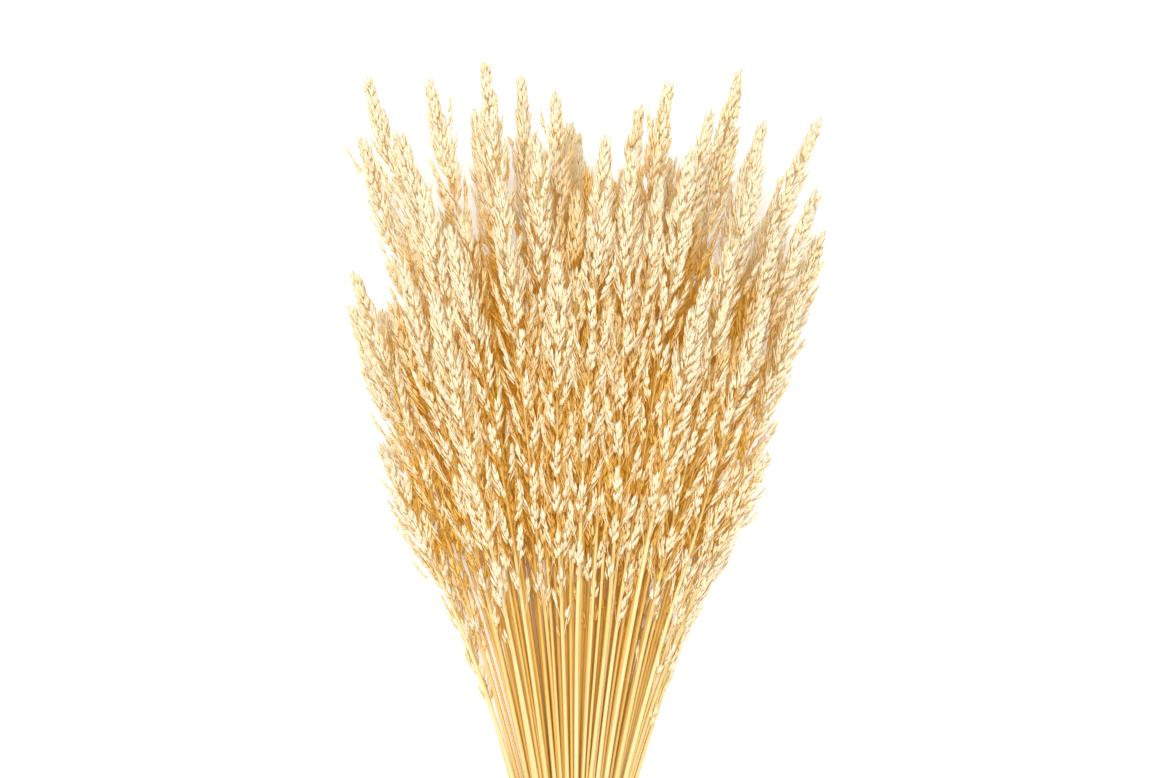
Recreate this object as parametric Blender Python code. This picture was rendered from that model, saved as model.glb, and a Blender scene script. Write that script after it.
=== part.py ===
"""A tied bundle of dried diss grass, lying on a surface.

Units are metres and +Z is up. The bundle lies along +Y with its seed heads at the far end, and
+X is to the right when it is seen from above. The origin is on the surface, under the tie.
"""
import math
import random
from dataclasses import dataclass

import bmesh
import bpy
import numpy as np
from mathutils import Matrix, Vector

OBJECT_NAME = "diss_grass_bundle"
MM = 0.001
SEED = 29
STEM_COUNT = 56
GAP = 0.35 * MM
SPARE_GAP = 0.3 * MM

# Lengths along the bundle
CUT_END = -85 * MM
CUT_JITTER = 4 * MM
PARALLEL_HALF = 10 * MM
CULM_STATIONS = (48 * MM, 100 * MM, 175 * MM, 262 * MM)
HEAD_STATIONS = 4
HEAD_BASE = (268 * MM, 325 * MM)
TALL_HEAD_BASE = (300 * MM, 365 * MM)
TALL_TIP = 655 * MM

# Thickness of the stems and heads
SIDES = 6
CULM_RADIUS = 2.0 * MM
CULM_TAPER = (0.72, 0.9)
CORE_RADIUS = 4.3 * MM
SECTION_STEP = 2 * MM
ROOM_MARGIN = 0.35 * MM
CORE_SWELLS_OVER = 0.14
CORE_TAPERS_FROM = 0.7
TIP_RADIUS = 0.9 * MM
HEAD_REACH = 14.2 * MM
REACH_SPREAD = (0.9, 1.08)
REACH_AT_BASE = 0.5
REACH_RISES_OVER = 0.22
REACH_FALLS_FROM = 0.66
REACH_FALL_POWER = 1.2
REACH_AT_TIP = 0.18
SHARP_ANGLE = math.radians(62)

# How the stems fan out of the tie
FAN_BEND = 46 * MM
CROWN_AT_TIE = 30 * MM
CROWN_SLOPE = 0.165
CROWN_HALF_SPAN = 235 * MM
LOWEST_HEAD = 12 * MM

# Tips of the lower layers, which no list gives
FILL_TRIES = 80
FILL_ALONG = (500 * MM, 655 * MM)
FILL_ACROSS = 165 * MM
FILL_LIFT = 0.72
FILL_BOW = (0.2, 0.5)
FILL_SWAY = 6 * MM

# Packing of the culms in the tie: shares of the way that a culm moves in one step
SLOT_START = (0.16, 0.26)
PULL_ACROSS = 0.006
PULL_DOWN = 0.012
PULLED_STEPS = 500
PUSHED_STEPS = 800
PUSH_SHARE = 0.8
HEADING_AT = 150 * MM
SLOT_PASSES = 4

# Settling of the stems against each other: first with the room of the heads, then of the cores
LEVEL_STEP = 7.5 * MM
WIDE_STEPS = 180
FIRM_STEPS = 160
WIDE_MOVE = 0.8
FIRM_MOVE = 1.1
HEAD_ROOM = 0.80
HEAD_FLOOR = 0.92
SETTLED_GAP = 0.95 * GAP
RETURN_SHARE = 0.02
SMOOTH_SHARE = 0.12
LEAST_MOVE = 1e-7

# Spikelet clusters of a head: every other corner of its rows is drawn out to a point
ROW_PITCH = 18.0 * MM
FEWEST_ROWS = 8
LAST_STATION_BEFORE = 12 * MM
CLUSTER_LEAN = 1.5
CLUSTER_SHARES = (1.0, 0.88, 0.76, 0.64, 0.52, 0.4, 0.28, 0.15, 0.0)
LEAN_SPREAD = (0.85, 1.15)
POINT_SPREAD = (0.86, 1.12)
POINT_TURN = 0.22
SHORT_OF_TIP = 0.5 * MM
ROOM_SAMPLES = (0.3, 0.55, 0.8, 1.0)
AXIS_STEP = 4 * MM

# Tie
TIE_SIDES = 18
TIE_TURNS = 5
TURN_PITCH = 2.2 * MM
TIE_THICKNESS = 2.2 * MM
SLOT_FLOOR = TIE_THICKNESS + GAP + CULM_RADIUS
TURN_GROOVE = 0.6 * MM
TURN_FLAT = 0.26 * TURN_PITCH
KNOT_ACROSS = 6 * MM
KNOT_RADII = (4.6 * MM, 5.4 * MM, 3.4 * MM)
KNOT_SEGMENTS = (6, 4)
KNOT_LIFT = 0.35 * KNOT_RADII[2]
TAIL_RADIUS = 1.15 * MM
TAIL_TAPER = 0.12
TAIL_STEPS = 4
TAIL_STARTS = (1.0 * MM, 3.7 * MM, 0.9 * MM)
TAIL_ASIDE = 8 * MM
TAIL_BEND = 1.6 * MM
TAIL_LENGTHS = {"left": 9.5 * MM, "right": 13.8 * MM}
TAIL_SIDES = {"left": -1, "right": 1}

# Heads that show at the rim of the bundle: tip across and along in millimetres, lift of the tip
# from 0 at the surface to 1 at the top of the bundle, bow of the stem, and sway of its middle.
RIM_HEADS = (
    (-167, 695, 0.52, 0.25, 0), (-174, 650, 0.25, 0.20, 0), (-116, 691, 0.62, 0.30, 0),
    (-80, 669, 0.36, 0.30, 0), (-70, 704, 0.72, 0.35, 0), (-42, 695, 0.45, 0.40, 0),
    (-14, 680, 0.64, 0.30, 0), (-2, 659, 0.32, 0.30, 0), (11, 622, 0.40, 0.30, 0),
    (77, 688, 0.70, 0.75, 0), (54, 671, 0.46, 0.40, 6), (111, 667, 0.60, 0.35, 0),
    (135, 699, 0.48, 0.35, 0), (155, 660, 0.34, 0.30, 0), (200, 662, 0.56, 0.60, 0),
    (199, 604, 0.50, 0.25, 0), (203, 571, 0.25, 0.20, 0), (161, 572, 0.40, 0.25, 0),
    (168, 603, 0.16, 0.25, 0), (151, 625, 0.68, 0.30, 0), (-178, 538, 0.60, 0.25, 0),
    (-182, 512, 0.30, 0.30, 0), (-158, 400, 0.50, 0.50, 0), (150, 392, 0.50, 0.55, 0),
    (186, 520, 0.62, 0.20, 0),
)
# Heads of the upper layer, in the same measures.
UPPER_HEADS = (
    (-58, 608, 1.00, 0.90, 0), (26, 642, 0.97, 0.30, -7), (47, 632, 0.93, 0.40, 14),
    (-120, 607, 0.93, 0.20, 0), (-138, 648, 0.84, 0.30, 0), (94, 632, 0.90, 0.40, 0),
    (128, 565, 0.97, 0.35, 0), (-101, 572, 0.97, 0.25, 0), (-138, 548, 0.90, 0.25, 0),
    (-109, 520, 1.00, 0.30, 0), (68, 611, 0.74, 0.40, 0), (112, 531, 1.00, 0.40, 0),
    (156, 516, 0.88, 0.30, 0), (99, 495, 0.80, 0.40, 0), (34, 524, 0.80, 0.40, 0),
    (-14, 553, 0.88, 0.50, 0), (-2, 602, 0.62, 0.40, 0), (-28, 640, 0.86, 0.45, 0),
)

STRAW = (0.83, 0.66, 0.38, 1.0)
STRAW_ROUGHNESS = 0.62
TWINE_BROWN = (0.50, 0.36, 0.20, 1.0)
TWINE_ROUGHNESS = 0.85


@dataclass
class Stem:
    """One culm with its seed head."""

    name: str
    tip: Vector
    bow: float
    sway: float
    cut_end: float
    head_base: float
    taper: float
    reach: float
    first_turn: float


def tip_height(across, along, lift):
    """Height of a tip, from its lift between the surface and the top of the bundle."""
    crown = CROWN_AT_TIE + CROWN_SLOPE * along
    crown *= math.sqrt(1 - (across / CROWN_HALF_SPAN) ** 2)
    return LOWEST_HEAD + lift * (crown - LOWEST_HEAD)


def fan_direction(tip):
    """Direction of a tip as it is seen from the tie."""
    return Vector((tip.x / tip.y, tip.z / tip.y))


def fill_tips(tips, rng):
    """Add tips for the lower layers, each in the widest space that is left."""
    while len(tips) < STEM_COUNT:
        best = None
        for _ in range(FILL_TRIES):
            along = rng.uniform(*FILL_ALONG)
            across = rng.uniform(-1, 1) * FILL_ACROSS
            lift = rng.uniform(0.0, FILL_LIFT)
            tip = Vector((across, along, tip_height(across, along, lift)))
            space = min((fan_direction(tip) - fan_direction(other[0])).length for other in tips)
            if best is None or space > best[0]:
                best = (space, tip)
        tips.append((best[1], rng.uniform(*FILL_BOW), rng.uniform(-1, 1) * FILL_SWAY))


def make_stems(rng):
    """List the stems, the measured heads first."""
    tips = []
    for across, along, lift, bow, sway in RIM_HEADS + UPPER_HEADS:
        height = tip_height(across * MM, along * MM, lift)
        tips.append((Vector((across * MM, along * MM, height)), bow, sway * MM))
    fill_tips(tips, rng)
    stems = []
    for index, (tip, bow, sway) in enumerate(tips):
        base_range = TALL_HEAD_BASE if tip.y > TALL_TIP else HEAD_BASE
        stems.append(Stem(
            name=f"stem_{index + 1:02d}",
            tip=tip,
            bow=bow,
            sway=sway,
            cut_end=CUT_END + rng.uniform(-1, 1) * CUT_JITTER,
            head_base=rng.uniform(*base_range),
            taper=rng.uniform(*CULM_TAPER),
            reach=HEAD_REACH * rng.uniform(*REACH_SPREAD),
            first_turn=rng.uniform(0, math.tau),
        ))
    return stems


def core_radius(stem, along):
    """Radius of the culm, and of the head's core beyond its base."""
    thin = CULM_RADIUS * stem.taper
    if along <= stem.head_base:
        part = max(0.0, along) / stem.head_base
        return CULM_RADIUS + (thin - CULM_RADIUS) * part
    part = min(1.0, (along - stem.head_base) / (stem.tip.y - stem.head_base))
    if part < CORE_SWELLS_OVER:
        return thin + (CORE_RADIUS - thin) * part / CORE_SWELLS_OVER
    taper = max(0.0, part - CORE_TAPERS_FROM) / (1 - CORE_TAPERS_FROM)
    return CORE_RADIUS + (TIP_RADIUS - CORE_RADIUS) * taper


def head_reach(stem, along):
    """How far the points of the clusters stand from the middle of the head."""
    part = (along - stem.head_base) / (stem.tip.y - stem.head_base)
    part = min(1.0, max(0.0, part))
    rise = min(1.0, REACH_AT_BASE + (1 - REACH_AT_BASE) * part / REACH_RISES_OVER)
    fall = max(0.0, part - REACH_FALLS_FROM) / (1 - REACH_FALLS_FROM)
    return stem.reach * rise * (1 - (1 - REACH_AT_TIP) * fall ** REACH_FALL_POWER)


def pack_slots(stems):
    """Places of the culms in the tie: drawn together, then pushed apart."""
    place = np.array([(SLOT_START[0] * stem.tip.x, SLOT_START[1] * stem.tip.z) for stem in stems])
    for pull in np.linspace(1.0, 0.1, PULLED_STEPS):
        place[:, 0] -= PULL_ACROSS * pull * place[:, 0]
        place[:, 1] -= PULL_DOWN * pull * (place[:, 1] - SLOT_FLOOR)
        push_apart(place)
    for _ in range(PUSHED_STEPS):
        push_apart(place)
    return place


def push_apart(place):
    """Push overlapping culms apart by one step, and keep them above the tie's underside."""
    apart = place[:, None, :] - place[None, :, :]
    distance = np.linalg.norm(apart, axis=2) + 1e-9
    np.fill_diagonal(distance, 1.0)
    push = np.clip(2 * CULM_RADIUS + GAP - distance, 0.0, None) / distance * 0.5
    place += PUSH_SHARE * (apart * push[:, :, None]).sum(axis=1)
    place[:, 1] = np.maximum(place[:, 1], SLOT_FLOOR)


def order_slots(slots, heading):
    """Swap slots until no two stems pass each other on the way to where they head."""
    swaps = 0
    while True:
        before = swaps
        for first in range(len(slots)):
            for second in range(first + 1, len(slots)):
                if np.dot(slots[first] - slots[second], heading[first] - heading[second]) < 0:
                    slots[[first, second]] = slots[[second, first]]
                    swaps += 1
        if swaps == before:
            return swaps


def spread(stem, along):
    """Share of its way from slot to tip that a stem has fanned out."""
    fan = math.hypot(along, FAN_BEND) - FAN_BEND
    full_fan = math.hypot(stem.tip.y, FAN_BEND) - FAN_BEND
    return (1 - stem.bow) * fan / full_fan + stem.bow * (along / stem.tip.y) ** 2


def free_routes(stems, slots):
    """Stations along each stem, and the places where its drawn route passes them."""
    along = []
    place = []
    for stem, (slot_x, slot_z) in zip(stems, slots):
        last = CULM_STATIONS[-1]
        head = [last + (stem.tip.y - last) * (n + 1) / HEAD_STATIONS for n in range(HEAD_STATIONS)]
        rows = [stem.cut_end, -PARALLEL_HALF, PARALLEL_HALF, *CULM_STATIONS, *head]
        points = []
        for row in rows:
            share = 0.0 if abs(row) <= PARALLEL_HALF else spread(stem, row)
            sway = 0.0
            if row > PARALLEL_HALF:
                sway = stem.sway * math.sin(math.pi * row / stem.tip.y) ** 2
            points.append((slot_x + (stem.tip.x - slot_x) * share + sway,
                           slot_z + (stem.tip.z - slot_z) * share))
        along.append(rows)
        place.append(points)
    return np.array(along), np.array(place)


def station_weights(along, levels):
    """Weight of each station at each level, and whether the stem reaches that level."""
    count = along.shape[1]
    weights = np.zeros((along.shape[0], len(levels), count))
    unit = np.eye(count)
    for row in range(along.shape[0]):
        for station in range(count):
            weights[row, :, station] = np.interp(levels, along[row], unit[station])
    inside = (levels[None, :] >= along[:, :1]) & (levels[None, :] <= along[:, -1:] + 1e-6)
    return weights * inside[:, :, None], inside


def settle_routes(stems, along, place):
    """Bend the stems clear of each other, with more room round the heads."""
    levels = np.arange(CUT_END - CUT_JITTER, max(stem.tip.y for stem in stems) + LEVEL_STEP, LEVEL_STEP)
    weights, inside = station_weights(along, levels)
    core = np.array([[core_radius(stem, y) for y in levels] for stem in stems])
    wide = np.array([[HEAD_ROOM * head_reach(stem, y) if y > stem.head_base else 0.0 for y in levels]
                     for stem in stems])
    wide = np.maximum(core, wide)
    both = inside[:, None, :] & inside[None, :, :]
    both[np.arange(len(stems)), np.arange(len(stems)), :] = False
    spare = SPARE_GAP * np.clip((levels - CULM_STATIONS[0]) / CULM_STATIONS[0], 0.0, 1.0)
    drawn = place.copy()
    free = np.ones(along.shape[1])
    free[1:3] = 0.0
    for step in range(WIDE_STEPS + FIRM_STEPS):
        firm = step >= WIDE_STEPS
        size = core + spare if firm else wide
        need = size[:, None, :] + size[None, :, :] + SETTLED_GAP
        here = np.einsum("nlk,nkc->nlc", weights, place)
        apart = here[:, None] - here[None, :]
        distance = np.sqrt((apart ** 2).sum(axis=3)) + 1e-9
        push = np.clip(need - distance, 0.0, None) / distance * 0.5 * both
        move = (apart * push[..., None]).sum(axis=1)
        floor = core + GAP if firm else np.maximum(core, HEAD_FLOOR * wide)
        move[:, :, 1] += np.clip(floor - here[:, :, 1], 0.0, None) * inside
        active = (np.abs(move).sum(axis=2) > LEAST_MOVE)[:, :, None] * weights
        share = np.einsum("nlk,nlc->nkc", active, move) / (active.sum(axis=1)[:, :, None] + 1e-9)
        place += (FIRM_MOVE if firm else WIDE_MOVE) * share * free[None, :, None]
        if not firm:
            place += RETURN_SHARE * (drawn - place) * free[None, :, None]
            change = place - drawn
            bend = change[:, 3:-2] + change[:, 5:] - 2 * change[:, 4:-1]
            change[:, 4:-1] += SMOOTH_SHARE * bend
            place = drawn + change
    return place


class Bundle:
    """The settled stems, with the room that each leaves its neighbours."""

    def __init__(self, stems):
        self.stems = stems
        self.slots = pack_slots(stems)
        heading = np.array([(stem.tip.x * spread(stem, HEADING_AT), stem.tip.z * spread(stem, HEADING_AT))
                            for stem in stems])
        for _ in range(SLOT_PASSES):
            if order_slots(self.slots, heading) == 0:
                break
            self.along, drawn = free_routes(stems, self.slots)
            self.place = settle_routes(stems, self.along, drawn)
            heading = self.place[:, 3].copy()
        self.sections = {}

    def point(self, index, y):
        """Point on the middle line of a stem at a distance along the bundle."""
        x = np.interp(y, self.along[index], self.place[index, :, 0])
        z = np.interp(y, self.along[index], self.place[index, :, 1])
        return Vector((x, y, z))

    def section(self, y):
        """Number, place and core radius of each stem that crosses a plane, and whether it is a head."""
        rows = []
        for index, stem in enumerate(self.stems):
            if stem.cut_end <= y <= stem.tip.y:
                middle = self.point(index, y)
                rows.append((index, middle.x, middle.z, core_radius(stem, y), y > stem.head_base))
        return rows

    def has_room(self, index, point):
        """Whether a point lies clear of the surface and of the other stems' rooms."""
        if point.z < 0.0:
            return False
        key = round(point.y / SECTION_STEP)
        if key not in self.sections:
            self.sections[key] = np.array(self.section(key * SECTION_STEP)).reshape(-1, 5)
        rows = self.sections[key]
        distance = np.hypot(rows[:, 1] - point.x, rows[:, 2] - point.z) - rows[:, 3]
        other = rows[:, 0] != index
        if np.any(distance[other] < ROOM_MARGIN):
            return False
        own = distance[~other]
        heads = distance[other & (rows[:, 4] > 0)]
        return len(own) == 0 or not np.any(heads - own[0] < 2 * ROOM_MARGIN)

    def ring(self, index, y, radius, turn):
        """Corners of a stem's section at a distance along the bundle."""
        middle, side, up = self.cross_axes(index, y)
        corners = []
        for column in range(SIDES):
            angle = turn + math.tau * column / SIDES
            corners.append(middle + (side * math.cos(angle) + up * math.sin(angle)) * radius)
        return corners

    def cross_axes(self, index, y):
        """Middle of the stem at y, and two directions across it."""
        ahead = (self.point(index, y + AXIS_STEP) - self.point(index, y - AXIS_STEP)).normalized()
        side = ahead.cross(Vector((0, 0, 1))).normalized()
        return self.point(index, y), side, side.cross(ahead)


def head_rings(bundle, index, rng):
    """Corners of each row of a head from its base to its tip, and which are cluster points."""
    stem = bundle.stems[index]
    length = stem.tip.y - stem.head_base
    rows = max(FEWEST_ROWS, round(length / ROW_PITCH))
    pitch = length / rows
    levels = [stem.head_base + pitch * (row + 1) for row in range(rows)]
    rings = [bundle.ring(index, y, core_radius(stem, y), stem.first_turn) for y in levels]
    points = [[False] * SIDES for _ in rings]
    below = bundle.ring(index, stem.head_base, core_radius(stem, stem.head_base), stem.first_turn)
    valleys = [below] + [list(ring) for ring in rings]
    for row in range(rows - 1):
        for column in range(row % 2, SIDES, 2):
            lean = pitch * CLUSTER_LEAN * rng.uniform(*LEAN_SPREAD)
            lean = min(lean, stem.tip.y - levels[row] - SHORT_OF_TIP)
            reach = head_reach(stem, levels[row] + lean) * rng.uniform(*POINT_SPREAD)
            angle = stem.first_turn + math.tau * (column + rng.uniform(-1, 1) * POINT_TURN) / SIDES
            middle, side, up = bundle.cross_axes(index, levels[row] + lean)
            outward = side * math.cos(angle) + up * math.sin(angle)
            feet = (valleys[row][column], valleys[row + 2][column],
                    valleys[row + 1][column - 1], valleys[row + 1][(column + 1) % SIDES])
            base = valleys[row + 1][column]
            for share in CLUSTER_SHARES:
                far = base.lerp(middle + outward * reach, share)
                if cluster_fits(bundle, index, feet, far):
                    rings[row][column] = far
                    points[row][column] = share > 0.0
                    break
    return rings, points


def cluster_fits(bundle, index, feet, far):
    """Whether a cluster's edges, from its feet to its point, stay in the room of their stem."""
    for foot in feet:
        for share in ROOM_SAMPLES:
            if not bundle.has_room(index, foot.lerp(far, share)):
                return False
    return True


def make_material(name, colour, roughness):
    """Plain material with one colour."""
    material = bpy.data.materials.new(name)
    material.use_nodes = True
    shader = material.node_tree.nodes["Principled BSDF"]
    shader.inputs["Base Color"].default_value = colour
    shader.inputs["Roughness"].default_value = roughness
    shader.inputs["Metallic"].default_value = 0.0
    return material


def new_collection(name):
    """Collection linked to the scene."""
    collection = bpy.data.collections.new(name)
    bpy.context.scene.collection.children.link(collection)
    return collection


def tube_mesh(name, points, radii, resolution, collection):
    """Closed mesh tube through points, with a radius at each."""
    curve = bpy.data.curves.new(name, "CURVE")
    curve.dimensions = "3D"
    curve.twist_mode = "Z_UP"
    curve.bevel_depth = 1.0
    curve.bevel_resolution = resolution
    curve.use_fill_caps = True
    spline = curve.splines.new("POLY")
    spline.points.add(len(points) - 1)
    for spot, point, radius in zip(spline.points, points, radii):
        spot.co = (*point, 1.0)
        spot.radius = radius
    source = bpy.data.objects.new(name + "_curve", curve)
    collection.objects.link(source)
    bpy.context.view_layer.update()
    evaluated = source.evaluated_get(bpy.context.evaluated_depsgraph_get())
    mesh = bpy.data.meshes.new_from_object(evaluated)
    weld(mesh)
    tube = bpy.data.objects.new(name, mesh)
    tube.matrix_world = source.matrix_world.copy()
    collection.objects.link(tube)
    bpy.data.objects.remove(source, do_unlink=True)
    bpy.data.curves.remove(curve)
    return tube


def weld(mesh):
    """Join the loose caps of a tube to its wall."""
    shape = bmesh.new()
    shape.from_mesh(mesh)
    bmesh.ops.remove_doubles(shape, verts=shape.verts, dist=0.001 * MM)
    bmesh.ops.recalc_face_normals(shape, faces=shape.faces)
    shape.to_mesh(mesh)
    shape.free()


def next_ring(shape, ring):
    """Extrude a ring of corners by one row. The new ring keeps their order."""
    edges = [shape.edges.get((ring[n - 1], ring[n])) for n in range(len(ring))]
    extruded = bmesh.ops.extrude_edge_only(shape, edges=edges)["geom"]
    fresh = {item for item in extruded if isinstance(item, bmesh.types.BMVert)}
    return [next(edge.other_vert(vert) for edge in vert.link_edges if edge.other_vert(vert) in fresh)
            for vert in ring]


def split_between_points(shape, drawn_out):
    """Split each four-sided face of the head between its corners that aren't drawn out."""
    for face in list(shape.faces):
        corners = list(face.verts)
        if len(corners) != 4:
            continue
        if corners[0] in drawn_out or corners[2] in drawn_out:
            bmesh.utils.face_split(face, corners[1], corners[3])
        elif corners[1] in drawn_out or corners[3] in drawn_out:
            bmesh.utils.face_split(face, corners[0], corners[2])


def new_body(name, shape, collection):
    """Smoothly shaded object made of a bmesh, which is freed."""
    mesh = bpy.data.meshes.new(name)
    shape.to_mesh(mesh)
    shape.free()
    mesh.shade_smooth()
    mesh.set_sharp_from_angle(angle=SHARP_ANGLE)
    body = bpy.data.objects.new(name, mesh)
    collection.objects.link(body)
    return body


def fuse(target, pieces):
    """Union of an object with a collection's objects, which are then removed."""
    union = target.modifiers.new("union", "BOOLEAN")
    union.operation = "UNION"
    union.solver = "EXACT"
    union.operand_type = "COLLECTION"
    union.collection = pieces
    bpy.context.view_layer.update()
    evaluated = target.evaluated_get(bpy.context.evaluated_depsgraph_get())
    fused = bpy.data.meshes.new_from_object(evaluated)
    target.modifiers.clear()
    drop_islands(fused)
    target.data = fused
    for piece in list(pieces.objects):
        bpy.data.objects.remove(piece, do_unlink=True)
    bpy.data.collections.remove(pieces)


def drop_islands(mesh):
    """Fill the small hollows that fusing seals in, and drop loose scraps."""
    shape = bmesh.new()
    shape.from_mesh(mesh)
    left = set(shape.verts)
    islands = []
    while left:
        island = {left.pop()}
        edge = list(island)
        while edge:
            near = [other for link in edge.pop().link_edges for other in link.verts if other in left]
            left.difference_update(near)
            island.update(near)
            edge.extend(near)
        islands.append(island)
    islands.sort(key=len)
    for island in islands[:-1]:
        bmesh.ops.delete(shape, geom=list(island), context="VERTS")
    shape.to_mesh(mesh)
    shape.free()


def make_stem(bundle, index, rng, collection, root):
    """Culm and seed head of one stem, one closed body with its origin in the tie."""
    stem = bundle.stems[index]
    culm = [y for y in bundle.along[index] if y < stem.head_base - LAST_STATION_BEFORE]
    culm.append(stem.head_base)
    rings = [bundle.ring(index, y, core_radius(stem, y), stem.first_turn) for y in culm]
    head, points = head_rings(bundle, index, rng)
    flags = [[False] * SIDES for _ in rings] + points
    place = bundle.point(index, 0.0)
    shape = bmesh.new()
    ring = bmesh.ops.create_circle(shape, cap_ends=True, segments=SIDES, radius=CULM_RADIUS)["verts"]
    drawn_out = set()
    for row, (corners, marks) in enumerate(zip(rings + head, flags)):
        if row > 0:
            ring = next_ring(shape, ring)
        for vert, corner, mark in zip(ring, corners, marks):
            vert.co = corner - place
            if mark:
                drawn_out.add(vert)
    rim = [shape.edges.get((ring[n - 1], ring[n])) for n in range(SIDES)]
    bmesh.ops.contextual_create(shape, geom=rim)
    split_between_points(shape, drawn_out)
    bmesh.ops.recalc_face_normals(shape, faces=shape.faces)
    body = new_body(stem.name, shape, collection)
    body.data.materials.append(make_material(stem.name + "_straw", STRAW, STRAW_ROUGHNESS))
    body.parent = root
    body.location = place


def tie_contour(bundle, offset):
    """Corners of the band round the culms, at an offset from the nearest ones."""
    support = []
    for side in range(TIE_SIDES):
        angle = math.tau * (side + 0.5) / TIE_SIDES - math.pi / 2 - math.pi / TIE_SIDES
        facing = np.array((math.cos(angle), math.sin(angle)))
        support.append((angle, float((bundle.slots @ facing).max()) + CULM_RADIUS + offset))
    corners = []
    for side, (angle, reach) in enumerate(support):
        next_angle, next_reach = support[(side + 1) % TIE_SIDES]
        turn = next_angle - angle
        across = (next_reach - reach * math.cos(turn)) / math.sin(turn)
        corners.append((reach * math.cos(angle) - across * math.sin(angle),
                        reach * math.sin(angle) + across * math.cos(angle)))
    return corners


def top_of_contour(corners, across):
    """Height of the upper side of a contour at a place across it."""
    heights = []
    for (x, z), (next_x, next_z) in zip(corners, corners[1:] + corners[:1]):
        if min(x, next_x) <= across <= max(x, next_x) and x != next_x:
            heights.append(z + (next_z - z) * (across - x) / (next_x - x))
    return max(heights)


def ring_loop(shape, corners, y):
    """Closed loop of edges through the corners, in the plane at y."""
    verts = [shape.verts.new((x, y, z)) for x, z in corners]
    return [shape.edges.new((verts[n - 1], verts[n])) for n in range(len(verts))]


def make_band(bundle, crest, collection):
    """Closed band of wound turns round the culms, with a groove between each two turns."""
    groove = tie_contour(bundle, GAP + TIE_THICKNESS - TURN_GROOVE)
    groove = [(x, z if z > TURN_GROOVE * 2 else min(z, crest_z))
              for (x, z), (_, crest_z) in zip(groove, crest)]
    inner = tie_contour(bundle, GAP)
    half = TIE_TURNS * TURN_PITCH / 2
    shape = bmesh.new()
    loops = [ring_loop(shape, inner, half), ring_loop(shape, inner, -half)]
    for turn in range(TIE_TURNS):
        middle = (turn + 0.5) * TURN_PITCH - half
        loops.append(ring_loop(shape, crest, middle - TURN_FLAT))
        loops.append(ring_loop(shape, crest, middle + TURN_FLAT))
        if turn < TIE_TURNS - 1:
            loops.append(ring_loop(shape, groove, middle + TURN_PITCH / 2))
    for first, second in zip(loops, loops[1:] + loops[:1]):
        bmesh.ops.bridge_loops(shape, edges=first + second)
    bmesh.ops.recalc_face_normals(shape, faces=shape.faces)
    return new_body("tie", shape, collection)


def make_knot(seat, collection):
    """Small round knot of the twine."""
    shape = bmesh.new()
    around, rows = KNOT_SEGMENTS
    bmesh.ops.create_uvsphere(shape, u_segments=around, v_segments=rows, radius=1.0)
    size = Matrix.Diagonal((*KNOT_RADII, 1.0))
    bmesh.ops.transform(shape, matrix=Matrix.Translation(seat) @ size, verts=shape.verts)
    new_body("knot", shape, collection)


def tail_route(seat, side, length):
    """Points of one loose end of the twine, from the knot along the culms."""
    route = []
    for step in range(TAIL_STEPS + 1):
        part = step / TAIL_STEPS
        route.append(seat + Vector((
            side * (TAIL_STARTS[0] + TAIL_ASIDE * part),
            TAIL_STARTS[1] * length / TAIL_LENGTHS["right"] + length * part,
            TAIL_STARTS[2] + TAIL_BEND * math.sin(math.pi * part))))
    return route


def make_tie(bundle, collection, root):
    """Wound turns of twine with a knot on top and two short ends."""
    crest = tie_contour(bundle, GAP + TIE_THICKNESS)
    tie = make_band(bundle, crest, collection)
    knot_parts = new_collection("knot_parts")
    seat = Vector((KNOT_ACROSS, 0.0, top_of_contour(crest, KNOT_ACROSS) + KNOT_LIFT))
    make_knot(seat, knot_parts)
    radii = [TAIL_RADIUS * (1.0 - TAIL_TAPER * step) for step in range(TAIL_STEPS + 1)]
    for end, length in TAIL_LENGTHS.items():
        tube_mesh("tail_" + end, tail_route(seat, TAIL_SIDES[end], length), radii, 1, knot_parts)
    fuse(tie, knot_parts)
    tie.data.materials.clear()
    tie.data.materials.append(make_material("tie_twine", TWINE_BROWN, TWINE_ROUGHNESS))
    tie.parent = root


def build():
    """Clear the scene and make the bundle."""
    for item in list(bpy.data.objects):
        bpy.data.objects.remove(item, do_unlink=True)
    rng = random.Random(SEED)
    collection = new_collection(OBJECT_NAME)
    root = bpy.data.objects.new("bundle_root", None)
    collection.objects.link(root)
    bundle = Bundle(make_stems(rng))
    for index in range(len(bundle.stems)):
        make_stem(bundle, index, rng, collection, root)
    make_tie(bundle, collection, root)


build()
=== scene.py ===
"""The looks of a tied bundle of dried diss grass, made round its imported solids.

Every grass solid gives its own route. Its rows of corners are read from the cut end to the tip: their
middles are the line that the stem follows, and a corner that stands out of its row is the point where
one branch of spikelets ends. The culm, the branches and the spikelets are then grown along those.

Units are metres. +Z is up, and +Y runs from the tie to the seed heads.
"""
from __future__ import annotations

import logging
import math
import random
from bisect import bisect_right
from dataclasses import dataclass, field
from enum import Enum
from typing import Sequence, Union

import bmesh
import bpy
import numpy as np
from mathutils import Matrix, Vector


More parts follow.
